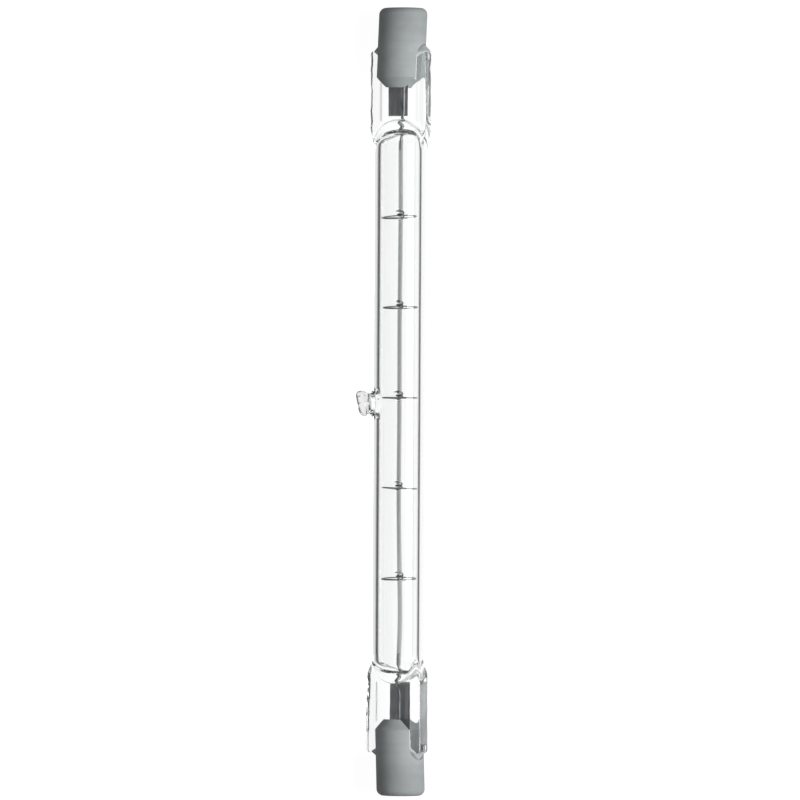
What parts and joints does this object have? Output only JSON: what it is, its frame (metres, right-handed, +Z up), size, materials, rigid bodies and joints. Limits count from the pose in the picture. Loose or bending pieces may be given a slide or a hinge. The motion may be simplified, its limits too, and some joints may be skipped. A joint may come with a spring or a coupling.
{
  "type": "halogen bulb",
  "caption": "Double-ended halogen lamp: clear quartz tube with pressed ends, slotted ceramic caps with recessed contacts, and a coiled filament held along its axis.",
  "frame": {"origin": "on the surface that the lamp lies on, under the middle of its box", "axes": "+Y along the lamp towards the upper cap, +Z up from the surface that the tube lies on; the exhaust tip points to -X, level"},
  "size_m": [0.0112, 0.1176, 0.008],
  "materials": {
    "quartz": "clear, fire polished",
    "cap_ceramic": "matt, unglazed",
    "cement": "matt, grainy",
    "contact_metal": "plated",
    "foil_metal": "rolled foil",
    "lead_wire": "drawn wire",
    "filament_wire": "coiled wire",
    "support_wire": "drawn wire"
  },
  "bodies": {
    "root": {"quartz_envelope": "quartz", "upper_cap": "cap_ceramic", "lower_cap": "cap_ceramic", "upper_cement": "cement", "lower_cement": "cement", "upper_contact": "contact_metal", "lower_contact": "contact_metal", "upper_foil": "foil_metal", "lower_foil": "foil_metal", "upper_inner_lead": "lead_wire", "lower_inner_lead": "lead_wire", "upper_outer_lead": "lead_wire", "lower_outer_lead": "lead_wire", "filament": "filament_wire", "filament_support_1": "support_wire", "filament_support_2": "support_wire", "filament_support_3": "support_wire", "filament_support_4": "support_wire", "filament_support_5": "support_wire"}
  },
  "joints": []
}
